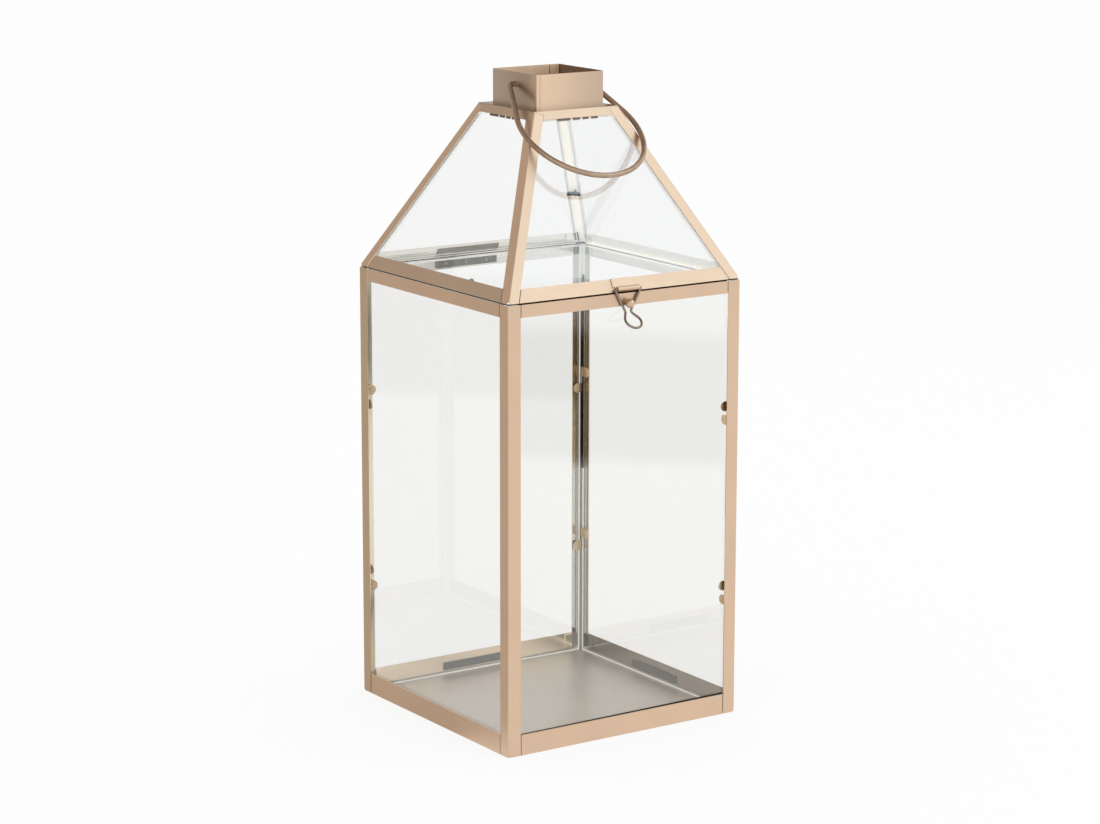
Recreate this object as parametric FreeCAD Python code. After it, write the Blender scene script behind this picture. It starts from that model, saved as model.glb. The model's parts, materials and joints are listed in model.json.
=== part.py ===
import FreeCAD, Part
import math
import os

# A square candle lantern with glazed walls and a hinged, glazed, hipped lid. Millimetres, +Z up.
# The origin is on the ground at the middle of the body, and the latch is on the front, at -Y.

V = FreeCAD.Vector

# Body
body_width = 200.0
body_height = 324.2
sheet = 0.8
fold_radius = 1.4
seam_narrow = 0.3
seam_wide = 0.9
post_leg = 10.5
post_toe_radius = 3.0
bottom_rail_height = 15.2
top_rail_height = 9.0
top_rail_flange = 4.0
rail_tab_reach = 6.0
rail_tab_lap = 6.0
rail_tab_inset = 1.0
tray_lip_height = 3.0

# Panes, their clips and cushions
pane_thickness = 2.0
pane_edge_gap = 1.0
pane_top_gap = 0.3
clip_sheet = 0.5
clip_tongue_height = 7.3
# Each corner has a low clip and a high clip. A clip has a tongue on the pane to the corner's right, seen
# from outside, and one on the pane to its left. Heights go right, left for the low clip, then for the high.
# Reaches go right, left.
clip_heights_front_left = (83.9, 97.1, 219.4, 231.6)
clip_heights_front_right = (83.9, 97.1, 219.4, 231.6)
clip_heights_rear_right = (85.7, 96.3, 211.8, 224.6)
clip_heights_rear_left = (95.5, 81.3, 221.8, 231.4)
clip_reaches_front_left = (12.2, 12.2)
clip_reaches_front_right = (16.0, 13.8)
clip_reaches_rear_right = (11.4, 13.9)
clip_reaches_rear_left = (12.0, 12.0)
strip_length = 57.0
strip_height = 5.9
strip_rise = 0.7

# Lid
lid_gap = 1.2
lid_inset = 0.3
lid_rise = 122.2
crown_ledge = 7.1
hip_leg = 8.0
hip_corner_radius = 4.0
lid_rail_height = 10.0
lid_rail_flange = 6.0
lid_tab_lap = 6.0
lid_tab_reach = 4.0
crown_rail_height = 6.5
lid_pane_margin = 6.0
lid_pane_gap = 0.2
lid_clip_rise = 42.5
lid_clip_height = 3.5
lid_clip_reach = 9.5
lid_cushion_width = 6.0
lid_cushion_thickness = 1.0
lid_cushion_rise = 1.9
lid_cushion_place = 41.6
tooth_drop = 1.2
tooth_root = 3.0
tooth_places_shares = (-0.30, -0.03, 0.17, 0.36)
tooth_widths_shares = (0.26, 0.15, 0.12, 0.13)

# Chimney
chimney_width = 58.2
chimney_height = 24.8
chimney_fold = 2.0
chimney_lap = 8.2
chimney_groove_inset = 2.7
chimney_groove_width = 0.35
chimney_groove_depth = 0.4

# Bail handle
bail_wire = 4.0
bail_fit = 0.05
bail_hole_drop = 8.8
bail_pin_inside = 5.0
bail_corner_out = 4.1
bail_bend = 4.0
bail_loop_radius = 48.2
bail_loop_centre = 51.3
bail_hip_gap = 0.1
bail_steps = 100

# Latch
latch_wire = 1.8
latch_fit = 0.05
latch_plate_width = 22.0
knuckle_half_length = 9.2
knuckle_out = 1.25
knuckle_rise = 2.5
knuckle_end_gap = 0.3
knuckle_curl_angle = 25.0
loop_pin_depth = 5.5
loop_top_bend = 1.1
loop_neck_half = 2.1
loop_neck_drop = 17.0
loop_neck_bend = 2.2
ring_tilt = 50.0
ring_radius = 6.3
ring_centre = 8.8
stud_ball = 6.8
stud_shank = 3.4
stud_standoff = 3.7
stud_drop = 6.9
stud_tail = 4.8

# Rear hinge, set a little to one side
hinge_length = 54.0
hinge_offset = -6.8
hinge_knuckles = 5
hinge_end_gap = 0.3
hinge_pin = 2.0
hinge_pin_head = 3.4
hinge_pin_head_length = 0.8
hinge_fit = 0.05
hinge_wall = 0.85
hinge_clear = 0.35
leaf_sheet = 0.8
leaf_height = 6.4
backing_height = 5.6
rivet_body = 1.8
rivet_head = 3.2
rivet_head_height = 0.7
rivet_fit = 0.05
rivet_pitch = 18.0

# One overrun serves every cut, and one small length tells when two points are the same
overrun = 5.0
same_place = 0.00001

# Worked out from the sizes above
quarter_turn = 90
body_half = body_width / 2
rail_back = body_half - sheet
pane_face = rail_back - sheet
pane_back = pane_face - pane_thickness
pane_half = pane_back - pane_edge_gap
post_edge = body_half - post_leg
lid_half = body_half - lid_inset
chimney_half = chimney_width / 2
crown_half = chimney_half + crown_ledge
lid_bottom = body_height + lid_gap
lid_top = lid_bottom + lid_rise
run = lid_half - crown_half
slant = math.hypot(lid_rise, run)
hip_length = math.hypot(slant, run)
chimney_bore = chimney_half - sheet
chimney_top = lid_top + chimney_height
bail_axis = chimney_top - bail_hole_drop
knuckle_bore = latch_wire / 2 + latch_fit
knuckle_radius = knuckle_bore + sheet
knuckle_axis = V(0, -body_half - knuckle_out, lid_bottom + knuckle_rise)
hinge_bore = hinge_pin / 2 + hinge_fit
hinge_radius = hinge_bore + hinge_wall
hinge_axis = V(0, -body_half - hinge_radius, body_height + lid_gap / 2)
stud_height = body_height - stud_drop

# The lid's front face: up its slope, and square into it
up_slope = V(0, run / slant, lid_rise / slant)
into = V(0, lid_rise / slant, -run / slant)
along_x = V(1, 0, 0)
along_y = V(0, 1, 0)
along_z = V(0, 0, 1)
centre = V(0, 0, 0)

sides = ("front", "right", "rear", "left")
corners = ("front_left", "front_right", "rear_right", "rear_left")
clip_heights = dict(zip(corners, (clip_heights_front_left, clip_heights_front_right,
                                  clip_heights_rear_right, clip_heights_rear_left)))
clip_reaches = dict(zip(corners, (clip_reaches_front_left, clip_reaches_front_right,
                                  clip_reaches_rear_right, clip_reaches_rear_left)))
# The sides whose narrow seam lies at the end that is on the right, seen from outside
swapped_sides = ("rear", "left")


# Helpers

def box(low, high):
    low = V(*low)
    size = V(*high) - low
    return Part.makeBox(size.x, size.y, size.z, low)


def prism(points, push):
    return Part.Face(Part.makePolygon(points + points[:1])).extrude(push)


def cylinder(radius, start, push):
    return Part.makeCylinder(radius, push.Length, start, push)


def joined(first, *others):
    return first.fuse(list(others)).removeSplitter()


def turned(shape, quarters):
    """A copy turned about the upright axis, from the front to another side."""
    copy = shape.copy()
    copy.rotate(centre, along_z, quarters * quarter_turn)
    return copy


def across(shape):
    """A copy mirrored from the front face to the left face."""
    return shape.mirror(centre, V(1, -1, 0))


def flipped(shape):
    """A copy mirrored from left to right."""
    return shape.mirror(centre, along_x)


def rounded(shape, radius, point, direction):
    """Round the straight edges that lie on the line through a point."""
    line = V(direction).normalize()
    edges = []
    for edge in shape.Edges:
        ends = [vertex.Point - point for vertex in edge.Vertexes]
        if len(ends) == 2 and all(end.cross(line).Length < same_place for end in ends):
            edges.append(edge)
    return shape.makeFillet(radius, edges)


def rounded_block(half, low, high, radius):
    """An upright square block with rounded corners."""
    block = box((-half, -half, low), (half, half, high))
    for x, y in ((-half, -half), (half, -half), (half, half), (-half, half)):
        block = rounded(block, radius, V(x, y, 0), along_z)
    return block


def dome(radius, height, base, outward):
    """A low round head on a flat base."""
    ball_radius = (radius ** 2 + height ** 2) / (2 * height)
    below = ball_radius - height
    base_latitude = math.degrees(math.asin(below / ball_radius))
    return Part.makeSphere(ball_radius, base - outward * below, outward, base_latitude, quarter_turn)


def bend(before, corner, after, radius):
    """Start, middle and end of the arc that rounds one corner of a wire's path."""
    back = (before - corner).normalize()
    ahead = (after - corner).normalize()
    half_angle = back.getAngle(ahead) / 2
    reach = radius / math.tan(half_angle)
    inward = (back + ahead).normalize()
    arc_centre = corner + inward * (radius / math.sin(half_angle))
    return corner + back * reach, arc_centre - inward * radius, corner + ahead * reach


def wire_path(stops):
    """A path of straight runs, with an arc wherever a stop has three points."""
    here = stops[0]
    edges = []
    for stop in stops[1:]:
        arc = stop if isinstance(stop, tuple) else None
        target = arc[0] if arc else stop
        if (target - here).Length > same_place:
            edges.append(Part.LineSegment(here, target).toShape())
        here = target
        if arc:
            edges.append(Part.Arc(*arc).toShape())
            here = arc[2]
    return Part.Wire(edges)


def rod(name, stops, diameter):
    """A round wire bent along its path, with its volume checked against its length."""
    path = wire_path(stops)
    start = stops[0]
    heading = path.Edges[0].tangentAt(path.Edges[0].FirstParameter)
    profile = Part.Wire(Part.makeCircle(diameter / 2, start, heading))
    shape = path.makePipeShell([profile], True, False)
    expected = math.pi * diameter ** 2 / 4 * path.Length
    print(name, "volume over section times length:", round(shape.Volume / expected, 4))
    return shape


def tangent_point(half_width, loop_centre, loop_radius):
    """Where a straight leg from (half_width, 0) meets the loop centred at (0, loop_centre)."""
    distance = math.hypot(half_width, loop_centre)
    leg = math.sqrt(distance ** 2 - loop_radius ** 2)
    angle = math.asin(loop_radius / distance) - math.atan2(half_width, loop_centre)
    return half_width + leg * math.sin(angle), leg * math.cos(angle)


# Body

def post():
    """A folded corner post at the front left."""
    outline = [V(-body_half, -body_half, 0), V(-post_edge, -body_half, 0), V(-post_edge, -rail_back, 0),
               V(-rail_back, -rail_back, 0), V(-rail_back, -post_edge, 0), V(-body_half, -post_edge, 0)]
    angle = rounded(prism(outline, along_z * body_height), fold_radius, V(-body_half, -body_half, 0), along_z)
    toe_end = post_toe_radius - body_half
    toe = box((-body_half - overrun, -body_half - overrun, -overrun), (toe_end, -rail_back, post_toe_radius))
    toe = toe.cut(cylinder(post_toe_radius, V(toe_end, -body_half - overrun, post_toe_radius),
                           along_y * (2 * overrun)))
    return angle.cut([toe, across(toe)])


def body_rail(low, high, tab_low, tab_high):
    """A front rail between two posts, with a tab at each end that laps behind the post."""
    left = -post_edge + seam_narrow
    right = post_edge - seam_wide
    face = box((left, -body_half, low), (right, -rail_back, high))
    left_tab = box((left - rail_tab_reach, -rail_back, tab_low), (left + rail_tab_lap, -pane_face, tab_high))
    right_tab = box((right - rail_tab_lap, -rail_back, tab_low), (right + rail_tab_reach, -pane_face, tab_high))
    return joined(face, left_tab, right_tab)


def bottom_rail():
    tab_low = tray_lip_height + strip_rise
    return body_rail(0, bottom_rail_height, tab_low, bottom_rail_height - rail_tab_inset)


def top_rail():
    low = body_height - top_rail_height
    rail = body_rail(low, body_height, low + rail_tab_inset, body_height - rail_tab_inset)
    flange = box((seam_narrow - post_edge, -body_half, body_height - sheet),
                 (post_edge - seam_wide, top_rail_flange - body_half, body_height))
    return joined(rail, flange)


def base_tray():
    """The floor, with a low lip turned up behind each bottom rail."""
    tray = box((-rail_back, -rail_back, 0), (rail_back, rail_back, sheet))
    lip = box((-post_edge, -rail_back, 0), (post_edge, -pane_face, tray_lip_height))
    return joined(tray, *[turned(lip, quarters) for quarters in range(4)])


def pane():
    top = body_height - sheet - pane_top_gap
    return box((-pane_half, -pane_face, sheet), (pane_half, -pane_back, top))


def clip_tongue(height, reach):
    """A round-ended tongue that lies on the inner face of the front pane."""
    half = clip_tongue_height / 2
    tip = reach - body_half - half
    bar = box((-pane_back, -pane_back, height - half), (tip, clip_sheet - pane_back, height + half))
    end = cylinder(half, V(tip, -pane_back, height), along_y * clip_sheet)
    return joined(bar, end)


def pane_clip(right_height, left_height, right_reach, left_reach):
    """A strip from the post's inner corner, slit into one tongue for each of two panes."""
    half_thickness = clip_sheet / 2 / math.sqrt(2)
    near = pane_back - clip_sheet / 2
    web_low = min(right_height, left_height) - clip_tongue_height / 2
    web_height = abs(right_height - left_height) + clip_tongue_height
    web = prism([V(-body_half - half_thickness, -body_half + half_thickness, web_low),
                 V(-body_half + half_thickness, -body_half - half_thickness, web_low),
                 V(-near + half_thickness, -near - half_thickness, web_low),
                 V(-near - half_thickness, -near + half_thickness, web_low)],
                along_z * web_height)
    inside = box((-rail_back, -rail_back, 0), (0, 0, body_height))
    right = clip_tongue(right_height, right_reach)
    left = across(clip_tongue(left_height, left_reach))
    return joined(web.common(inside), right, left)


def lower_strip():
    """A cushion strip between the bottom rail and its pane."""
    low = tray_lip_height + strip_rise
    return box((-strip_length / 2, -rail_back, low), (strip_length / 2, -pane_face, low + strip_height))


def stud_hole():
    start = V(0, -body_half - overrun, stud_height)
    return cylinder(stud_shank / 2 + rivet_fit, start, along_y * (2 * overrun))


def latch_stud():
    """The ball that the latch loop hooks round, on a shank that is peened behind the rail."""
    ball = Part.makeSphere(stud_ball / 2, V(0, -body_half - stud_standoff, stud_height))
    shank = cylinder(stud_shank / 2, V(0, -body_half - stud_standoff, stud_height),
                     along_y * (stud_standoff + sheet))
    tail = cylinder(stud_tail / 2, V(0, -rail_back, stud_height), along_y * (sheet - rivet_fit))
    return joined(ball, shank, tail)


# Lid: u runs along X on its front face, v up the slope from the bottom edge, depth square into it

def on_slope(u, v, depth=0.0):
    return V(u, -lid_half, lid_bottom) + up_slope * v + into * depth


def hip_u(v, offset):
    """Half of the front face's width at v, less an offset square to the hip."""
    return lid_half - run * v / slant - offset * hip_length / slant


def slope_plate(outline, depth, thickness):
    return prism([on_slope(u, v, depth) for u, v in outline], into * thickness)


def hip_strips():
    """The two strips of one hip bar, cut square across at their top ends."""
    top_u = crown_half - hip_leg * slant / hip_length
    top_v = slant - hip_leg * run / hip_length
    outline = [(-hip_u(0, 0), 0), (-hip_u(0, hip_leg), 0), (-top_u, top_v), (-crown_half, slant)]
    strip = slope_plate(outline, 0, sheet)
    return joined(strip, across(strip))


def hip_bar():
    """A folded bar along the front left hip."""
    bottom = V(-lid_half, -lid_half, lid_bottom)
    top = V(-crown_half, -crown_half, lid_top)
    bar = rounded(hip_strips(), fold_radius, bottom, top - bottom)
    return bar.common(rounded_block(lid_half, lid_bottom, lid_top, hip_corner_radius))


def lid_rail():
    """The front bottom rail of the lid, with a flange that the pane stands on."""
    outer_top = on_slope(0, lid_rail_height)
    inner_top = on_slope(0, lid_rail_height, sheet)
    inner_foot_v = (sheet + sheet * run / slant) * slant / lid_rise
    inner_foot = on_slope(0, inner_foot_v, sheet)
    profile = [on_slope(0, 0), outer_top, inner_top, inner_foot,
               V(0, lid_rail_flange - lid_half, lid_bottom + sheet),
               V(0, lid_rail_flange - lid_half, lid_bottom)]
    bar = prism([point - along_x * lid_half for point in profile], along_x * (2 * lid_half))
    left_seam = hip_leg + seam_narrow
    right_seam = hip_leg + seam_wide
    outline = [(-hip_u(-overrun, left_seam), -overrun), (hip_u(-overrun, right_seam), -overrun),
               (hip_u(lid_rail_height, right_seam), lid_rail_height),
               (-hip_u(lid_rail_height, left_seam), lid_rail_height)]
    bar = bar.common(slope_plate(outline, -overrun, 3 * overrun))
    tab_low = inner_foot_v + sheet
    tab_high = lid_rail_height
    tabs = []
    for side, seam in ((-1, left_seam), (1, right_seam)):
        outline = [(side * hip_u(tab_low, seam + lid_tab_lap), tab_low),
                   (side * hip_u(tab_low, hip_leg - lid_tab_reach), tab_low),
                   (side * hip_u(tab_high, hip_leg - lid_tab_reach), tab_high),
                   (side * hip_u(tab_high, seam + lid_tab_lap), tab_high)]
        tabs.append(slope_plate(outline, sheet, sheet))
    return joined(bar, *tabs)


def crown_rail():
    """The front top rail of the lid: a strip down the slope and a ledge that carries the chimney."""
    seam = seam_narrow
    edge = hip_leg + seam
    high_u = crown_half - seam * hip_length / run
    notch_u = crown_half - (seam * run + edge * slant) / hip_length
    notch_v = slant + (seam * slant - edge * run) / hip_length
    low_v = slant - crown_rail_height
    half_outline = [(high_u, slant), (notch_u, notch_v), (hip_u(low_v, edge), low_v)]
    outline = half_outline + [(-u, v) for u, v in reversed(half_outline)]
    strip = slope_plate(outline, 0, sheet)
    ledge = prism([V(-crown_half, -crown_half, lid_top), V(crown_half, -crown_half, lid_top),
                   V(chimney_bore, -chimney_bore, lid_top), V(-chimney_bore, -chimney_bore, lid_top)],
                  along_z * -sheet)
    hips = [hip_strips(), turned(hip_strips(), 1)]
    return joined(strip, ledge.cut(hips)).common(box((-lid_half, -lid_half, 0), (lid_half, 0, lid_top)))


def lid_pane():
    """A four-sided pane in the lid's front face, standing on the rail's flange."""
    front_depth = 2 * sheet
    back_depth = front_depth + pane_thickness
    low_v = (sheet + lid_pane_gap + back_depth * run / slant) * slant / lid_rise
    high_v = slant - (sheet + pane_top_gap - front_depth * run / slant) * slant / lid_rise
    outline = [(-hip_u(low_v, lid_pane_margin), low_v), (hip_u(low_v, lid_pane_margin), low_v),
               (hip_u(high_v, lid_pane_margin), high_v), (-hip_u(high_v, lid_pane_margin), high_v)]
    return slope_plate(outline, front_depth, pane_thickness)


def lid_clip():
    """A strip inside the front left hip, folded over the inner faces of two panes."""
    pane_inside = 2 * sheet + pane_thickness
    low_v = lid_clip_rise * slant / lid_rise
    high_v = low_v + lid_clip_height
    # In a section square to the hip, the two inner faces meet this far along each face
    cosine = -(run / slant) ** 2
    sine = math.sqrt(1 - cosine ** 2)
    start = pane_inside * (1 + cosine) / sine
    outline = [(-hip_u(low_v, start), low_v), (-hip_u(low_v, lid_clip_reach), low_v),
               (-hip_u(high_v, lid_clip_reach), high_v), (-hip_u(high_v, start), high_v)]
    tongue = slope_plate(outline, pane_inside, clip_sheet)
    # The web stands in the upright plane through the hip
    half_sine = math.sqrt((1 - cosine) / 2)
    bottom = V(-lid_half, -lid_half, lid_bottom)
    rise_line = (V(-crown_half, -crown_half, lid_top) - bottom).normalize()
    sideways = V(1, -1, 0).normalize()
    inward = rise_line.cross(sideways)
    if inward.z > 0:
        inward = inward * -1
    shallow = (sheet + clip_sheet / 2 * math.sqrt(1 - half_sine ** 2)) / half_sine
    deep = (pane_inside + clip_sheet / 2) / half_sine
    low_s = low_v * hip_length / slant
    high_s = high_v * hip_length / slant
    corner_points = [bottom + rise_line * s + inward * q - sideways * (clip_sheet / 2)
                     for s, q in ((low_s, shallow), (high_s, shallow), (high_s, deep), (low_s, deep))]
    web = prism(corner_points, sideways * clip_sheet)
    return joined(web, tongue, across(tongue))


def lid_cushion():
    """A small round-topped cushion on the rail's flange, behind the pane."""
    front_depth = 2 * sheet + pane_thickness
    back_depth = front_depth + lid_cushion_thickness
    radius = lid_cushion_width / 2
    low_v = (sheet + back_depth * run / slant) * slant / lid_rise
    round_v = lid_rail_height + lid_cushion_rise - radius
    left = lid_cushion_place - radius
    right = lid_cushion_place + radius
    foot = slope_plate([(left, low_v), (right, low_v), (right, round_v), (left, round_v)],
                       front_depth, lid_cushion_thickness)
    return joined(foot, cylinder(radius, on_slope(lid_cushion_place, round_v, front_depth),
                                 into * lid_cushion_thickness))


def crown_teeth():
    """Teeth under the edge of the front top rail, that hold the top of its pane."""
    low_v = slant - crown_rail_height - tooth_drop
    high_v = slant - crown_rail_height + tooth_root
    half_width = hip_u(low_v, 0)
    teeth = []
    for place_share, width_share in zip(tooth_places_shares, tooth_widths_shares):
        left = half_width * (place_share - width_share / 2)
        right = half_width * (place_share + width_share / 2)
        outline = [(left, low_v), (right, low_v), (right, high_v), (left, high_v)]
        teeth.append(slope_plate(outline, sheet, sheet))
    return teeth


def chimney():
    """The open square chimney: a strip folded round, lapped inside the rear wall, with a seam by one fold."""
    shell = rounded_block(chimney_half, lid_top, chimney_top, chimney_fold)
    bore = rounded_block(chimney_bore, lid_top - overrun, chimney_top + overrun, chimney_fold - sheet)
    lap_end = chimney_half - chimney_fold
    lap = box((lap_end - chimney_lap, chimney_bore - sheet, lid_top), (lap_end, chimney_bore, chimney_top))
    groove_left = chimney_groove_inset - chimney_half
    groove_right = groove_left + chimney_groove_width
    groove = box((groove_left, -chimney_half - overrun, lid_top - overrun),
                 (groove_right, chimney_groove_depth - chimney_half, chimney_top + overrun))
    hole_start = V(-chimney_half - overrun, 0, bail_axis)
    hole = cylinder(bail_wire / 2 + bail_fit, hole_start, along_x * (chimney_width + 2 * overrun))
    return joined(shell.cut(bore), lap).cut([hole, groove])


# Moving wire pieces

def bail_place(u, s, drop):
    """A point of the bail's flat shape, with the bail swung down by an angle from level."""
    return V(u, -s * math.cos(drop), bail_axis - s * math.sin(drop))


def distance_off_lid(point):
    """How far a point lies outside the lid's front right hip, or below zero if it is inside."""
    off_front = (on_slope(0, 0) - point).dot(into)
    off_right = (point - V(lid_half, 0, lid_bottom)).dot(V(into.y, 0, -into.z))
    cosine = into.z ** 2
    furthest = max(off_front, off_right)
    if min(off_front, off_right) <= furthest * cosine:
        return furthest
    squares = off_front ** 2 + off_right ** 2 - 2 * off_front * off_right * cosine
    return math.sqrt(squares / (1 - cosine ** 2))


def bail_rest_drop():
    """The angle below level at which the bail comes down on the front hips."""
    corner_u = chimney_half + bail_corner_out
    loop_u, loop_s = tangent_point(corner_u, bail_loop_centre, bail_loop_radius)
    first = math.atan2(loop_s - bail_loop_centre, loop_u)
    turns = [first + (math.pi / 2 - first) * step / bail_steps for step in range(bail_steps + 1)]
    outline = [(bail_loop_radius * math.cos(turn), bail_loop_centre + bail_loop_radius * math.sin(turn))
               for turn in turns]
    clear, sunk = 0.0, math.pi / 2
    for _ in range(bail_steps):
        drop = (clear + sunk) / 2
        least = min(distance_off_lid(bail_place(u, s, drop)) for u, s in outline)
        if least > bail_wire / 2 + bail_hip_gap:
            clear = drop
        else:
            sunk = drop
    return clear


def bail():
    """The carrying handle, resting on the front hips."""
    drop = bail_rest_drop()
    print("bail rests below level by degrees:", round(math.degrees(drop), 2))
    corner_u = chimney_half + bail_corner_out
    loop_u, loop_s = tangent_point(corner_u, bail_loop_centre, bail_loop_radius)

    def place(u, s):
        return bail_place(u, s, drop)

    pin_u = chimney_bore - bail_pin_inside
    pins = [place(side * pin_u, 0) for side in (-1, 1)]
    bends = [place(side * corner_u, 0) for side in (-1, 1)]
    meets = [place(side * loop_u, loop_s) for side in (-1, 1)]
    far_end = place(0, bail_loop_centre + bail_loop_radius)
    stops = [pins[0], bend(pins[0], bends[0], meets[0], bail_bend), (meets[0], far_end, meets[1]),
             bend(meets[1], bends[1], pins[1], bail_bend), pins[1]]
    return rod("bail", stops, bail_wire)


def latch_loop():
    """The latch's wire loop: two arms that hook past the ball, and a ring to pull."""
    tilt = math.radians(ring_tilt)
    ring_way = V(0, -math.sin(tilt), -math.cos(tilt))
    neck_middle = knuckle_axis - along_z * loop_neck_drop
    bend_inset = knuckle_half_length + knuckle_end_gap - loop_neck_half
    bend_drop = loop_neck_drop - loop_top_bend
    arm_angle = math.atan2(bend_inset, bend_drop) + math.asin(loop_top_bend / math.hypot(bend_inset, bend_drop))
    arm_half = loop_neck_half + loop_neck_drop * math.tan(arm_angle)
    ring_u, ring_s = tangent_point(loop_neck_half, ring_centre, ring_radius)
    pin_half = knuckle_half_length - loop_pin_depth
    pins = [knuckle_axis + along_x * (side * pin_half) for side in (-1, 1)]
    tops = [knuckle_axis + along_x * (side * arm_half) for side in (-1, 1)]
    necks = [neck_middle + along_x * (side * loop_neck_half) for side in (-1, 1)]
    meets = [neck_middle + along_x * (side * ring_u) + ring_way * ring_s for side in (-1, 1)]
    far_end = neck_middle + ring_way * (ring_centre + ring_radius)
    stops = [pins[0], bend(pins[0], tops[0], necks[0], loop_top_bend),
             bend(tops[0], necks[0], meets[0], loop_neck_bend), (meets[0], far_end, meets[1]),
             bend(meets[1], necks[1], tops[1], loop_neck_bend),
             bend(necks[1], tops[1], pins[1], loop_top_bend), pins[1]]
    return rod("latch loop", stops, latch_wire)


def latch_plate():
    """A plate on the lid's front rail, whose lower edge is curled round the loop's pins."""
    offset = knuckle_axis - on_slope(0, 0)
    axis_v = offset.dot(up_slope)
    axis_depth = offset.dot(into)
    shoulder = axis_v + knuckle_radius + knuckle_end_gap
    half = latch_plate_width / 2
    plate = slope_plate([(-half, shoulder), (half, shoulder),
                         (half, lid_rail_height), (-half, lid_rail_height)], -sheet, sheet)
    neck_low = axis_v + knuckle_radius
    neck = slope_plate([(-knuckle_half_length, neck_low), (knuckle_half_length, neck_low),
                        (knuckle_half_length, shoulder), (-knuckle_half_length, shoulder)], -sheet, sheet)
    curl = math.radians(knuckle_curl_angle)
    middle = knuckle_radius - sheet / 2
    start = (axis_v + knuckle_radius, -sheet / 2)
    end = (axis_v - middle * math.sin(curl), axis_depth + middle * math.cos(curl))
    length = math.hypot(end[0] - start[0], end[1] - start[1])
    side_v = (end[1] - start[1]) / length * sheet / 2
    side_depth = (start[0] - end[0]) / length * sheet / 2
    outline = [(start[0] + side_v, start[1] + side_depth), (start[0] - side_v, start[1] - side_depth),
               (end[0] - side_v, end[1] - side_depth), (end[0] + side_v, end[1] + side_depth)]
    tail = prism([on_slope(-knuckle_half_length, v, depth) for v, depth in outline],
                 along_x * (2 * knuckle_half_length))
    knuckle_start = knuckle_axis - along_x * knuckle_half_length
    knuckle = cylinder(knuckle_radius, knuckle_start, along_x * (2 * knuckle_half_length))
    bore = cylinder(knuckle_bore, knuckle_start - along_x * overrun,
                    along_x * (2 * knuckle_half_length + 2 * overrun))
    return joined(plate, neck, tail, knuckle).cut(bore)


# Rear hinge, modelled at the front and turned to the rear with the rest of its side

def knuckle_spans():
    """Start and end of each hinge knuckle along X."""
    length = (hinge_length - hinge_end_gap * (hinge_knuckles - 1)) / hinge_knuckles
    left = -hinge_offset - hinge_length / 2
    starts = [left + place * (length + hinge_end_gap) for place in range(hinge_knuckles)]
    return [(start, start + length) for start in starts]


def hinge_cylinder(radius, start, end):
    return cylinder(radius, hinge_axis + along_x * start, along_x * (end - start))


def hinge_bore_cut():
    left = -hinge_offset - hinge_length / 2
    return hinge_cylinder(hinge_bore, left - overrun, left + hinge_length + overrun)


def rivet_places():
    return [-hinge_offset + place * rivet_pitch for place in (-1, 0, 1)]


def body_leaf():
    left = -hinge_offset - hinge_length / 2
    top = hinge_axis.z - hinge_radius - hinge_clear
    front = -body_half - leaf_sheet
    leaf = box((left, front, top - leaf_height), (left + hinge_length, -body_half, top))
    pieces = []
    for start, end in knuckle_spans()[0::2]:
        pieces.append(box((start, front, top), (end, -body_half, hinge_axis.z)))
        pieces.append(hinge_cylinder(hinge_radius, start, end))
    return joined(leaf, *pieces).cut([hinge_bore_cut()] + body_rivet_holes())


def lid_leaf():
    left = -hinge_offset - hinge_length / 2
    foot = (hinge_axis - on_slope(0, 0)).dot(up_slope)
    low = foot + hinge_radius + hinge_clear
    leaf = slope_plate([(left, low), (left + hinge_length, low), (left + hinge_length, low + leaf_height),
                        (left, low + leaf_height)], -leaf_sheet, leaf_sheet)
    pieces = []
    for start, end in knuckle_spans()[1::2]:
        outline = [(start, foot), (end, foot), (end, low), (start, low)]
        pieces.append(slope_plate(outline, -leaf_sheet, leaf_sheet))
        pieces.append(hinge_cylinder(hinge_radius, start, end))
    return joined(leaf, *pieces).cut([hinge_bore_cut()] + lid_rivet_holes())


def hinge_pin_solid():
    left = -hinge_offset - hinge_length / 2
    right = left + hinge_length
    shaft = hinge_cylinder(hinge_pin / 2, left, right)
    heads = [hinge_cylinder(hinge_pin_head / 2, left - hinge_pin_head_length, left),
             hinge_cylinder(hinge_pin_head / 2, right, right + hinge_pin_head_length)]
    return joined(shaft, *heads)


def body_rivet_spots():
    height = hinge_axis.z - hinge_radius - hinge_clear - leaf_height / 2
    return [V(x, -body_half - leaf_sheet, height) for x in rivet_places()]


def lid_rivet_spots():
    foot = (hinge_axis - on_slope(0, 0)).dot(up_slope)
    middle = foot + hinge_radius + hinge_clear + leaf_height / 2
    return [on_slope(x, middle, -leaf_sheet) for x in rivet_places()]


def rivets(spots, inward):
    """Round-headed rivets through a leaf, a rail and the backing strip behind them."""
    length = leaf_sheet + 2 * sheet
    return [joined(cylinder(rivet_body / 2, spot, inward * length),
                   dome(rivet_head / 2, rivet_head_height, spot, inward * -1)) for spot in spots]


def rivet_holes(spots, inward):
    radius = rivet_body / 2 + rivet_fit
    return [cylinder(radius, spot - inward * overrun, inward * (2 * overrun)) for spot in spots]


def body_rivet_holes():
    return rivet_holes(body_rivet_spots(), along_y)


def lid_rivet_holes():
    return rivet_holes(lid_rivet_spots(), into)


def body_backing():
    """The strip behind the rear top rail that the hinge is riveted through."""
    left = -hinge_offset - hinge_length / 2
    middle = body_rivet_spots()[0].z
    strip = box((left, -rail_back, middle - backing_height / 2),
                (left + hinge_length, -pane_face, middle + backing_height / 2))
    return strip.cut(body_rivet_holes())


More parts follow.
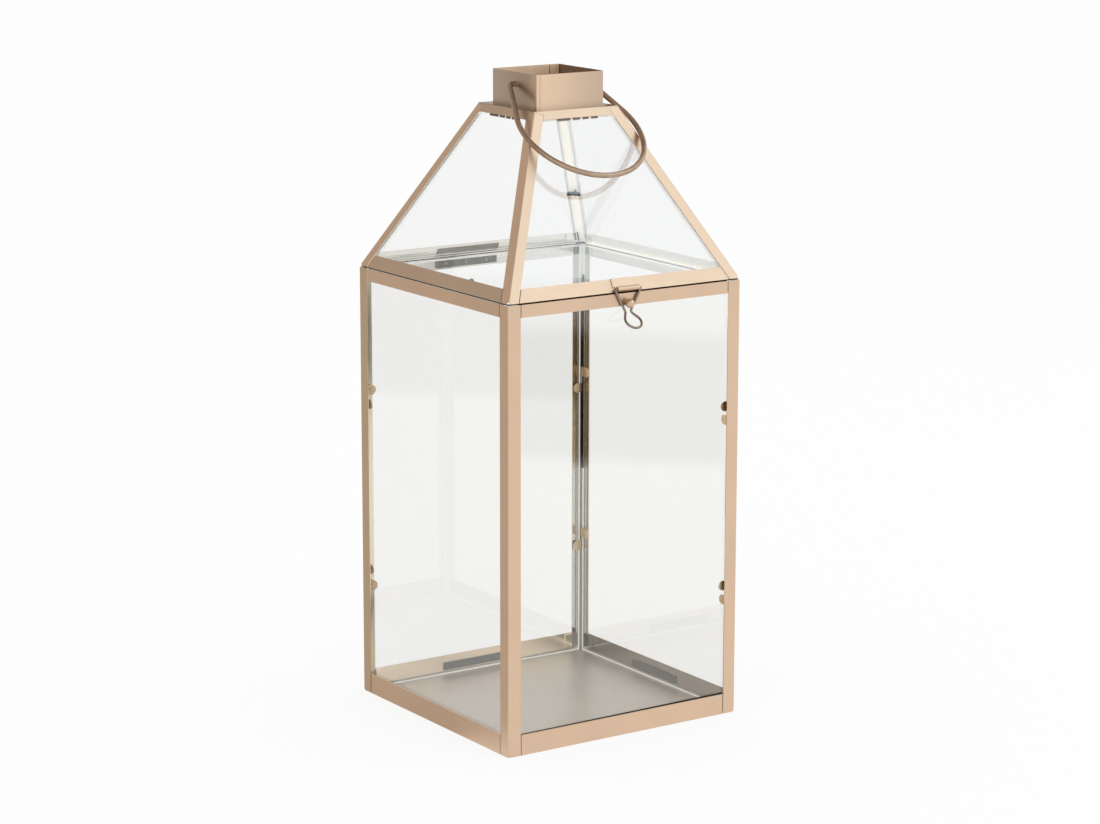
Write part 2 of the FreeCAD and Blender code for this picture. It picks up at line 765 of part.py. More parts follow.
def lid_backing():
    """The strip behind the lid's rear rail that the hinge is riveted through."""
    left = -hinge_offset - hinge_length / 2
    low = (sheet + lid_pane_gap + 2 * sheet * run / slant) * slant / lid_rise
    strip = slope_plate([(left, low), (left + hinge_length, low), (left + hinge_length, low + backing_height),
                         (left, low + backing_height)], sheet, sheet)
    return strip.cut(lid_rivet_holes())


# Everything, by node name

def side_rail(rail, side):
    """A rail for one side, with its narrow seam at the end that this side has it."""
    return flipped(rail) if side in swapped_sides else rail


def lantern():
    nodes = {}
    for quarters, corner in enumerate(corners):
        nodes["post_" + corner] = [turned(post(), quarters)]
        nodes["hip_bar_" + corner] = [turned(hip_bar(), quarters)]
        low_right, low_left, high_right, high_left = clip_heights[corner]
        clips = [pane_clip(low_right, low_left, *clip_reaches[corner]),
                 pane_clip(high_right, high_left, *clip_reaches[corner])]
        nodes["pane_clips_" + corner] = [turned(clip, quarters) for clip in clips]
    for quarters, side in enumerate(sides):
        low_rail = side_rail(bottom_rail(), side)
        high_rail = side_rail(top_rail(), side)
        roof_rail = side_rail(lid_rail(), side)
        if side == "front":
            high_rail = high_rail.cut(stud_hole())
        if side == "rear":
            high_rail = high_rail.cut(body_rivet_holes())
            roof_rail = roof_rail.cut(lid_rivet_holes())
        nodes["bottom_rail_" + side] = [turned(low_rail, quarters)]
        nodes["top_rail_" + side] = [turned(high_rail, quarters)]
        nodes["lid_rail_" + side] = [turned(roof_rail, quarters)]
        nodes["pane_" + side] = [turned(pane(), quarters)]
        nodes["crown_rail_" + side] = [turned(crown_rail(), quarters)]
        nodes["lid_pane_" + side] = [turned(lid_pane(), quarters)]
    nodes["base_tray"] = [base_tray()]
    nodes["lower_strips"] = [turned(lower_strip(), quarters) for quarters in range(4)]
    nodes["lid_clip"] = [turned(lid_clip(), corners.index("rear_right"))]
    nodes["lid_cushion"] = [turned(lid_cushion(), sides.index("left"))]
    nodes["crown_teeth"] = [turned(tooth, quarters) for quarters in range(4) for tooth in crown_teeth()]
    nodes["latch_stud"] = [latch_stud()]
    nodes["latch_plate"] = [latch_plate()]
    nodes["latch_loop"] = [latch_loop()]
    nodes["chimney"] = [chimney()]
    nodes["handle"] = [bail()]
    rear = sides.index("rear")
    nodes["hinge_body_leaf"] = [turned(body_leaf(), rear)]
    nodes["hinge_lid_leaf"] = [turned(lid_leaf(), rear)]
    nodes["hinge_pin"] = [turned(hinge_pin_solid(), rear)]
    nodes["hinge_body_rivets"] = [turned(rivet, rear) for rivet in rivets(body_rivet_spots(), along_y)]
    nodes["hinge_lid_rivets"] = [turned(rivet, rear) for rivet in rivets(lid_rivet_spots(), into)]
    nodes["hinge_body_backing"] = [turned(body_backing(), rear)]
    nodes["hinge_lid_backing"] = [turned(lid_backing(), rear)]
    return nodes


def main():
    os.makedirs("parts", exist_ok=True)
    for name, shapes in lantern().items():
        solids = [solid for shape in shapes for solid in shape.Solids]
        whole = solids[0] if len(solids) == 1 else Part.makeCompound(solids)
        if len(solids) != len(shapes) or not whole.isValid():
            print("look at", name, len(solids), "solids from", len(shapes), "valid:", whole.isValid())
        whole.exportStep("parts/" + name + ".step")


main()
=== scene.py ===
import json
import math

import bmesh
import bpy
from mathutils import Matrix, Vector


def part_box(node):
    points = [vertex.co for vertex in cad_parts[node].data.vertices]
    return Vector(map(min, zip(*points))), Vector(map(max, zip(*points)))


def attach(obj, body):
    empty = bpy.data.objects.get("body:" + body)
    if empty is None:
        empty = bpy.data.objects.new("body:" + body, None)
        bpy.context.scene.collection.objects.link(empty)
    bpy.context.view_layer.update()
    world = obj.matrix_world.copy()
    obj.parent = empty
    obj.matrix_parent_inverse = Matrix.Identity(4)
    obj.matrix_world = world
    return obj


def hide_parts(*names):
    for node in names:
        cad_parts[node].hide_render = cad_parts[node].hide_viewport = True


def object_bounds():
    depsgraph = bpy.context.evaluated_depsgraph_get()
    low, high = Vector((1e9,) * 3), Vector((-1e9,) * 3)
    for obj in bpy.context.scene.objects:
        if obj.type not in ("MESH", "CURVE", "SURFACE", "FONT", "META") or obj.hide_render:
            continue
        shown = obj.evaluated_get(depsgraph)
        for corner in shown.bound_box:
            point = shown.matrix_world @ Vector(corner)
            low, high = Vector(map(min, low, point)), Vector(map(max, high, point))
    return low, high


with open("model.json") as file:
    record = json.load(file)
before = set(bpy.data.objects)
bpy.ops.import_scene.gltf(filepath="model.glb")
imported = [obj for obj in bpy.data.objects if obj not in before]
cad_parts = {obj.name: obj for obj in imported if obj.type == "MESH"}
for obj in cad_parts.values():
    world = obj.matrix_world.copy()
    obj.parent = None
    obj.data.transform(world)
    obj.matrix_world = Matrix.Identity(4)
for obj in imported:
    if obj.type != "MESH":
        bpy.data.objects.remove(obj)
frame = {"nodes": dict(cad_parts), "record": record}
nodes = frame["nodes"]
cad_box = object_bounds()

# Camera, at the photograph's place and angle, in metres and degrees
camera_place = (-1.288116, -1.914573, 0.715068)
camera_turn = -33.98
camera_dip = 12.092
camera_roll = 0.087
camera_lens = 105.13
camera_sensor = 36.0

# Studio
floor_half = 6.0
floor_glow = 0.85
ambient_light = 0.95
rear_left = (-0.5585, 0.8297, 0.0)
rear_left_grey = (0.60, 0.55, 0.50)
rear_left_edge = (-0.1, 0.45)
ceiling_grey = (0.42, 0.40, 0.38)
ceiling_edge = (0.72, 0.90)
dark_card_ends = ((0.338, -0.920), (0.626, -0.645))
dark_card_height = 0.15
dark_card_foot_edge = 0.02
dark_card_head_edge = 0.125
softbox_place = (1.04, -1.22, 1.42)
softbox_target = (0, 0, 0.38)
softbox_size = 1.5
softbox_power = 5.1
softbox_tint = (0.55, 0.82, 1.0)

# Sizes of the lantern that the finishes and the small pieces follow
body_outside = 0.1
sheet = 0.0008
lid_half = 0.0997
lid_bottom = 0.3254
lid_top = 0.4476
crown_half = 0.0362
chimney_half = 0.0291
chimney_lap_edge = 0.0201
hip_leg = 0.008
lid_rail_height = 0.010
crown_rail_height = 0.0065
bottom_rail_height = 0.0152
post_leg = 0.0105
lid_rise = lid_top - lid_bottom
lid_run = lid_half - crown_half
lid_slant = math.hypot(lid_rise, lid_run)
hip_length = math.hypot(lid_slant, lid_run)
lean = lid_run / lid_rise
body_seam_gap = 0.0005
lid_seam_gap = 0.0006

# Where the finishes change on a piece, mostly where painted light and shade begin and end
dark_post_levels = (0.15, 0.293)
dark_post_fades = (0.006, 0.004)
pale_post_level = 0.297
crown_top_level = lid_top - 0.0001
lap_line_half = 0.0003
chimney_corner_line = 0.0003
chimney_near_fade = (-0.027, -0.016)
chimney_far_fade = (-0.012, 0.026)
seam_edge = (0.0002, 0.0001)
rear_right_start = 0.01

# Small pieces that only the scene adds: the panes' ground edges, and dark pieces of painted shade
ground_bevel = 0.0004
ground_width = 0.00045
inner_margin = 0.00012
outer_margin = 0.00003
gap_shade_half = 0.0986
gap_shade_width = 0.0026
gap_shade_bottom = 0.32432
gap_shade_thickness = 0.00103
corner_shade_radius = 0.00076
corner_shade_middle = (0.0973, 0.09624)
corner_shade_bottom = 0.148
corner_shade_length = 0.152
far_shade_face = 0.09642
far_shade_ends = (0.0936, 0.0954)
far_shade_thickness = 0.00008
rail_shade_start = 0.00002
rail_shade_thickness = 0.0007
rail_shade_foot = 0.0004
rail_shade_left_top = 0.0003
rail_shade_right_top = 0.0009
edge_shade_ends = (0.0006, 0.002)
edge_shade_edges = (0.0008, 0.0003)
edge_shade_depth_share = 1.03
edge_shade_thickness_share = 0.94

# Colours and settings that more than one finish has
brush_scale = (60, 2600, 2600)
grain_colour = (0.55, 0.39, 0.27)
# Painted shade in the seams at the rails' ends
seam_shade_colour = (0.10, 0.065, 0.04)
# Painted shade on the lid's and the crown's left and right walls
shaded_side_tone = (0.62, 0.465, 0.345)
# Dark tones of the pieces of painted shade
shade_piece_tones = ((0.020, 0.011, 0.006), (0.036, 0.020, 0.012))
copper_coat = 0.35
copper_roughness = (0.39, 0.47)
grain_bump = (0.12, 0.00002)
inner_shine = 0.35


def made_object(name, solid):
    """Makes an object at the origin from a finished mesh."""
    mesh = bpy.data.meshes.new(name)
    solid.to_mesh(mesh)
    solid.free()
    made = bpy.data.objects.new(name, mesh)
    bpy.context.scene.collection.objects.link(made)
    return made


def place_camera():
    """A camera with a slight roll that looks down onto the lantern's near corner."""
    data = bpy.data.cameras.new("camera")
    data.sensor_fit = "HORIZONTAL"
    data.sensor_width = camera_sensor
    data.lens = camera_lens
    data.clip_start = 0.05
    data.clip_end = 50
    camera = bpy.data.objects.new("camera", data)
    bpy.context.scene.collection.objects.link(camera)
    turn = Matrix.Rotation(math.radians(camera_turn), 4, "Z")
    dip = Matrix.Rotation(math.radians(90 - camera_dip), 4, "X")
    roll = Matrix.Rotation(math.radians(camera_roll), 4, "Z")
    camera.matrix_world = Matrix.Translation(camera_place) @ turn @ dip @ roll
    bpy.context.scene.camera = camera


class Nodes:
    """Short ways to add and join nodes in one node tree."""

    def __init__(self, tree):
        self.tree = tree

    def node(self, kind, **values):
        made = self.tree.nodes.new(kind)
        for name, value in values.items():
            setattr(made, name, value)
        return made

    def link(self, start, end):
        self.tree.links.new(start, end)

    def feed(self, value, socket):
        """A link where the value is another node's output, and a plain setting otherwise."""
        if isinstance(value, bpy.types.NodeSocket):
            self.link(value, socket)
        else:
            socket.default_value = value

    def math(self, operation, first, second=0.0):
        made = self.node("ShaderNodeMath", operation=operation)
        self.feed(first, made.inputs[0])
        self.feed(second, made.inputs[1])
        return made.outputs["Value"]

    def direction(self, operation, first, second=(0, 0, 0)):
        made = self.node("ShaderNodeVectorMath", operation=operation)
        self.feed(first, made.inputs[0])
        self.feed(second, made.inputs[1])
        return made.outputs["Value" if operation == "DOT_PRODUCT" else "Vector"]

    def between(self, share, low, high, start=0.3, end=0.7, smooth=False):
        """A number that runs from low to high as share runs from start to end."""
        made = self.node("ShaderNodeMapRange", interpolation_type="SMOOTHSTEP" if smooth else "LINEAR")
        made.inputs["From Min"].default_value = start
        made.inputs["From Max"].default_value = end
        made.inputs["To Min"].default_value = low
        made.inputs["To Max"].default_value = high
        self.link(share, made.inputs["Value"])
        return made.outputs["Result"]

    def blend(self, share, first, second):
        """One colour turning into another as share goes from 0 to 1."""
        made = self.node("ShaderNodeMix", data_type="RGBA")
        self.feed(share, made.inputs["Factor"])
        for colour, socket in ((first, made.inputs[6]), (second, made.inputs[7])):
            self.feed((*colour, 1) if isinstance(colour, tuple) else colour, socket)
        return made.outputs[2]

    def mixed_shader(self, share, first, second):
        made = self.node("ShaderNodeMixShader")
        self.feed(share, made.inputs["Fac"])
        self.link(first, made.inputs[1])
        self.link(second, made.inputs[2])
        return made.outputs["Shader"]

    def seen_directly(self):
        """1 for a ray of the camera, or one that metal or glass sends on."""
        ray = self.node("ShaderNodeLightPath")
        seen = self.math("MAXIMUM", ray.outputs["Is Camera Ray"], ray.outputs["Is Glossy Ray"])
        return self.math("MAXIMUM", seen, ray.outputs["Is Transmission Ray"])

    def mirrored(self):
        """1 for a ray that metal or glass throws back."""
        ray = self.node("ShaderNodeLightPath")
        return self.math("MULTIPLY", ray.outputs["Is Glossy Ray"], ray.outputs["Is Reflection Ray"])

    def studio_white(self, place):
        """White all round, but a warm grey for metal and glass that mirror the studio's rear left."""
        level = self.direction("NORMALIZE", self.direction("MULTIPLY", place, (1, 1, 0)))
        towards = self.direction("DOT_PRODUCT", level, rear_left)
        turned = self.between(towards, 0, 1, *rear_left_edge, smooth=True)
        share = self.math("MULTIPLY", turned, self.mirrored())
        return self.blend(share, (1.0, 1.0, 1.0), rear_left_grey)


class Finish(Nodes):
    """A material around one Principled shader."""

    def __init__(self, name, **settings):
        self.material = bpy.data.materials.new(name)
        self.material.use_nodes = True
        super().__init__(self.material.node_tree)
        self.shader = self.tree.nodes["Principled BSDF"]
        self.output = self.tree.nodes["Material Output"]
        for setting, value in settings.items():
            self.shader.inputs[setting.replace("_", " ")].default_value = value
        self.place = self.node("ShaderNodeTexCoord").outputs["Object"]

    def coordinates(self, along=(1, 0, 0), scale=(1, 1, 1)):
        """Object coordinates turned so that `along` becomes X, then scaled."""
        turned = self.node("ShaderNodeMapping")
        turn = Vector(along).rotation_difference(Vector((1, 0, 0)))
        turned.inputs["Rotation"].default_value = turn.to_euler()
        scaled = self.node("ShaderNodeMapping")
        scaled.inputs["Scale"].default_value = scale
        self.link(self.place, turned.inputs["Vector"])
        self.link(turned.outputs["Vector"], scaled.inputs["Vector"])
        return scaled.outputs["Vector"]

    def noise(self, vector, scale, detail):
        made = self.node("ShaderNodeTexNoise")
        made.inputs["Scale"].default_value = scale
        made.inputs["Detail"].default_value = detail
        self.link(vector, made.inputs["Vector"])
        return made.outputs["Fac"]

    def bump(self, height, strength, distance):
        made = self.node("ShaderNodeBump")
        made.inputs["Strength"].default_value = strength
        made.inputs["Distance"].default_value = distance
        self.link(height, made.inputs["Height"])
        self.link(made.outputs["Normal"], self.shader.inputs["Normal"])

    def places(self):
        """The place along X, Y and Z."""
        made = self.node("ShaderNodeSeparateXYZ")
        self.link(self.place, made.inputs["Vector"])
        return made.outputs["X"], made.outputs["Y"], made.outputs["Z"]

    def parts(self):
        """The distances across, deep and up from the lantern's middle and foot."""
        x, y, z = self.places()
        return self.math("ABSOLUTE", x), self.math("ABSOLUTE", y), z

    def leaned(self, distance, up, slope):
        """A distance from the middle, measured as if the lid's leaning walls stood upright."""
        rise = self.math("SUBTRACT", up, lid_bottom)
        return self.math("ADD", distance, self.math("MULTIPLY", rise, slope))

    def inside(self, half, slope=0.0):
        """1 on faces within a square of this half width, which may lean in from the lid's bottom edge."""
        across, deep, up = self.parts()
        widest = self.leaned(self.math("MAXIMUM", across, deep), up, slope)
        return self.math("LESS_THAN", widest, half)

    def seam(self, start, slope=0.0):
        """1 towards the corners, from where a rail's end leaves its seam."""
        across, deep, up = self.parts()
        nearest = self.leaned(self.math("MINIMUM", across, deep), up, slope)
        return self.between(nearest, 0, 1, start - seam_edge[0], start + seam_edge[1])


def satin_copper(name, along, inside=None, tone=(0.735, 0.53, 0.37), inner_tone=(0.65, 0.56, 0.44),
                 inner_ends=None, inner_glow=0.0, matt_from=None, seam=None, top=None):
    """Copper-plated sheet, finely brushed along one direction and lacquered satin.

    inside: the square that holds its inner faces, which are shinier and take the inner tone, a painted
    light or shade
    inner_ends: the inner faces have another tone, a painted reflection, below the first level and above the
    second
    inner_glow: how much painted light the inner faces give off, though they are no lamp
    matt_from: the level from which the inner faces are matt and give off that painted light
    seam: where a rail's ends turn dark with painted shade
    top: the level above which the faces have another tone, a painted shade
    """
    finish = Finish(name, Metallic=1.0, Coat_Weight=copper_coat, Coat_Roughness=0.35)
    cloud = finish.noise(finish.coordinates(along), 22, detail=3)
    grain = finish.noise(finish.coordinates(along, brush_scale), 1, detail=2)
    darker = tuple(0.965 * part for part in tone)
    lighter = tuple(1.03 * part for part in tone)
    shade = finish.blend(finish.between(cloud, 0, 1), darker, lighter)
    # Painted light and shade on the inner faces: their own tone, on the posts a painted reflection band,
    # and a painted glow.
    if inside is not None:
        inner = finish.inside(*inside)
        if inner_ends is not None:
            low, high, ends_tone = inner_ends
            up = finish.places()[2]
            low_fade, high_fade = dark_post_fades
            above = finish.between(up, 0, 1, low - low_fade, low + low_fade, smooth=True)
            below = finish.between(up, 1, 0, high - high_fade, high + high_fade, smooth=True)
            inner_tone = finish.blend(finish.math("MULTIPLY", above, below), ends_tone, inner_tone)
        shade = finish.blend(inner, shade, inner_tone)
        lit = inner
        if matt_from is not None:
            high_enough = finish.math("GREATER_THAN", finish.places()[2], matt_from)
            lit = finish.math("MULTIPLY", inner, high_enough)
            finish.link(finish.between(lit, 1, 0, 0, 1), finish.shader.inputs["Metallic"])
        if inner_glow:
            glow_tone = (*inner_tone, 1) if isinstance(inner_tone, tuple) else inner_tone
            finish.feed(glow_tone, finish.shader.inputs["Emission Color"])
            glow = finish.math("MULTIPLY", lit, inner_glow)
            finish.link(glow, finish.shader.inputs["Emission Strength"])
    # Painted shade on the faces above the top level.
    if top is not None:
        level, top_tone = top
        shade = finish.blend(finish.math("GREATER_THAN", finish.places()[2], level), shade, top_tone)
    shade = finish.blend(finish.between(grain, 0, 0.07), shade, grain_colour)
    # Painted shade in the seam at each rail's end.
    if seam is not None:
        shade = finish.blend(finish.seam(*seam), shade, seam_shade_colour)
    finish.link(shade, finish.shader.inputs["Base Color"])
    satin = finish.between(grain, *copper_roughness)
    if inside is not None:
        satin = finish.math("MULTIPLY", satin, finish.between(inner, 1, inner_shine, 0, 1))
    finish.link(satin, finish.shader.inputs["Roughness"])
    finish.bump(grain, *grain_bump)
    return finish.material


def chimney_copper(name):
    """The chimney's folded sheet, with painted shade: darker towards the right of its front and on its side
    walls, dark brown inside them, and a painted golden light inside the rear.
    """
    finish = Finish(name, Metallic=1.0, Coat_Weight=copper_coat, Coat_Roughness=0.3)
    cloud = finish.noise(finish.coordinates(), 40, detail=3)
    grain = finish.noise(finish.coordinates((1, 1, 0), brush_scale), 1, detail=2)
    across, deep, _ = finish.parts()
    x, y, _ = finish.places()
    on_side = finish.math("GREATER_THAN", across, finish.math("ADD", deep, chimney_corner_line))
    # Painted shade: the front darkens towards the right, and the side walls are lighter next to the front,
    # darker beyond and greyer towards the rear.
    front = finish.blend(finish.between(x, 0, 1, -chimney_half, chimney_half, smooth=True),
                         (0.80, 0.585, 0.405), (0.58, 0.43, 0.315))
    side = finish.blend(finish.between(y, 0, 1, *chimney_near_fade, smooth=True),
                        (0.66, 0.475, 0.33), (0.46, 0.35, 0.265))
    side = finish.blend(finish.between(y, 0, 1, *chimney_far_fade, smooth=True), side, (0.56, 0.45, 0.36))
    # Painted light and shade inside: golden on the front and rear walls, dark brown on the side walls.
    inner = finish.blend(on_side, (1.0, 0.74, 0.52), (0.17, 0.10, 0.06))
    lap_edge = finish.math("COMPARE", x, chimney_lap_edge - lap_line_half)
    lap_edge.node.inputs[2].default_value = lap_line_half
    at_rear = finish.math("GREATER_THAN", y, 0.0)
    inner = finish.blend(finish.math("MULTIPLY", lap_edge, at_rear), inner, (0.10, 0.06, 0.035))
    shade = finish.blend(on_side, front, side)
    inside = finish.inside(chimney_half - sheet / 2)
    finish.link(finish.between(inside, 1, 0.55, 0, 1), finish.shader.inputs["Metallic"])
    shade = finish.blend(inside, shade, inner)
    shade = finish.blend(finish.between(cloud, 0.10, 0), shade, (0.50, 0.36, 0.26))
    finish.link(shade, finish.shader.inputs["Base Color"])
    finish.link(finish.between(grain, 0.32, 0.40), finish.shader.inputs["Roughness"])
    finish.bump(grain, *grain_bump)
    return finish.material


def dull_tray(name):
    """The tray's plated steel, greyer and duller than the copper."""
    finish = Finish(name, Metallic=0.6, Coat_Weight=0.2, Coat_Roughness=0.3)
    cloud = finish.noise(finish.coordinates(), 16, detail=3)
    grain = finish.noise(finish.coordinates((1, 0, 0), (50, 2400, 2400)), 1, detail=2)
    shade = finish.blend(finish.between(cloud, 0, 1), (0.56, 0.49, 0.42), (0.605, 0.53, 0.455))
    finish.link(shade, finish.shader.inputs["Base Color"])
    finish.link(finish.between(grain, 0.34, 0.42), finish.shader.inputs["Roughness"])
    finish.bump(grain, 0.1, 0.00002)
    return finish.material


def clear_glass(name, tint=(0.978, 0.984, 0.98), index=1.5):
    """Flat clear glass. Lamps shine through it."""
    finish = Finish(name, Base_Color=(*tint, 1), Roughness=0.0, IOR=index, Transmission_Weight=1.0)
    wave = finish.noise(finish.coordinates(), 14, detail=1)
    finish.bump(wave, 0.04, 0.0002)
    ray = finish.node("ShaderNodeLightPath")
    through = finish.node("ShaderNodeBsdfTransparent")
    through.inputs["Color"].default_value = (0.95, 0.955, 0.95, 1)
    finish.link(finish.mixed_shader(ray.outputs["Is Shadow Ray"], finish.shader.outputs["BSDF"],
                                    through.outputs["BSDF"]), finish.output.inputs["Surface"])
    return finish.material


def ground_edge(name):
    """The white, frosted look of a pane's ground edge, with a painted glow that stands in for the light the
    glass carries to it.
    """
    finish = Finish(name, Roughness=0.55, Emission_Color=(1.0, 1.0, 0.95, 1), Emission_Strength=0.3)
    grit = finish.noise(finish.coordinates(), 1500, detail=3)
    finish.link(finish.blend(finish.between(grit, 0, 1), (0.80, 0.84, 0.82), (0.93, 0.95, 0.94)),
                finish.shader.inputs["Base Color"])
    finish.bump(grit, 0.3, 0.00005)
    return finish.material


def matt_rubber_and_shade(name, dark, light, rear_right_painted_light=None):
    """Matt rubber or foam, also the stuff of the dark pieces of painted shade, which may have a painted
    light colour towards the lantern's rear right.
    """
    finish = Finish(name, Roughness=0.8, Specular_IOR_Level=0.08)
    grain = finish.noise(finish.coordinates(), 900, detail=3)
    shade = finish.blend(finish.between(grain, 0, 1), dark, light)
    if rear_right_painted_light is not None:
        x, y, _ = finish.places()
        nearest = finish.math("MINIMUM", x, y)
        shade = finish.blend(finish.math("GREATER_THAN", nearest, rear_right_start), shade, rear_right_painted_light)
    finish.link(shade, finish.shader.inputs["Base Color"])
    finish.bump(grain, 0.4, 0.0002)
    return finish.material


def smooth_metal(name, dark, light, rough):
    """Plated metal without a brushed grain, for wire, studs and clips."""
    finish = Finish(name, Metallic=1.0, Coat_Weight=0.3, Coat_Roughness=0.15)
    cloud = finish.noise(finish.coordinates(), 120, detail=4)
    finish.link(finish.blend(finish.between(cloud, 0, 1), dark, light), finish.shader.inputs["Base Color"])
    finish.link(finish.between(cloud, rough - 0.05, rough + 0.07), finish.shader.inputs["Roughness"])
    finish.bump(cloud, 0.15, 0.00005)
    return finish.material


def give(node, material):
    """Puts one material on every slot of a CAD node."""
    for slot in nodes[node].material_slots:
        slot.material = material


def body_of(name):
    """The body that carries a CAD node."""
    return next(body for body, members in frame["record"]["behaviour"]["bodies"].items() if name in members)


def add_piece(name, solid, body, slot, *materials):
    """Makes a finished mesh into a piece that rides on a body."""
    piece = made_object(name, solid)
    for material in materials:
        piece.data.materials.append(material)
    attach(piece, body)
    return piece


def ground_pane(node, glass, edge):
    """A pane with ground edges, a hair thinner than its place so that clips and tabs rest on it."""
    solid = bmesh.new()
    solid.from_mesh(nodes[node].data)
    bmesh.ops.remove_doubles(solid, verts=solid.verts, dist=0.000001)
    bmesh.ops.dissolve_limit(solid, angle_limit=math.radians(1), verts=solid.verts, edges=solid.edges)
    bmesh.ops.recalc_face_normals(solid, faces=solid.faces)
    broad = sorted(solid.faces, key=lambda face: face.calc_area())[-2:]
    middle = Vector((0, 0, (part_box(node)[0].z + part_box(node)[1].z) / 2))
    inner, outer = sorted(broad, key=lambda face: (face.calc_center_median() - middle).length)
    for face, margin in ((inner, inner_margin), (outer, outer_margin)):
        bmesh.ops.translate(solid, verts=face.verts, vec=face.normal * -margin)
    rims = [rim for rim in solid.edges if any(face in broad for face in rim.link_faces)]
    bmesh.ops.bevel(solid, geom=rims, offset=ground_bevel, offset_type="OFFSET", segments=1,
                    profile=0.5, affect="EDGES", material=-1)
    clear = sorted(solid.faces, key=lambda face: face.calc_area())[-2:]
    if not node.startswith("lid_"):
        bmesh.ops.inset_individual(solid, faces=clear, thickness=ground_width, use_even_offset=True)
    for face in solid.faces:
        face.material_index = 1
    for face in clear:
        face.material_index = 0
    bmesh.ops.recalc_face_normals(solid, faces=solid.faces)
    piece = add_piece("ground_" + node, solid, body_of(node), "clear_glass", glass, edge)
    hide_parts(node)


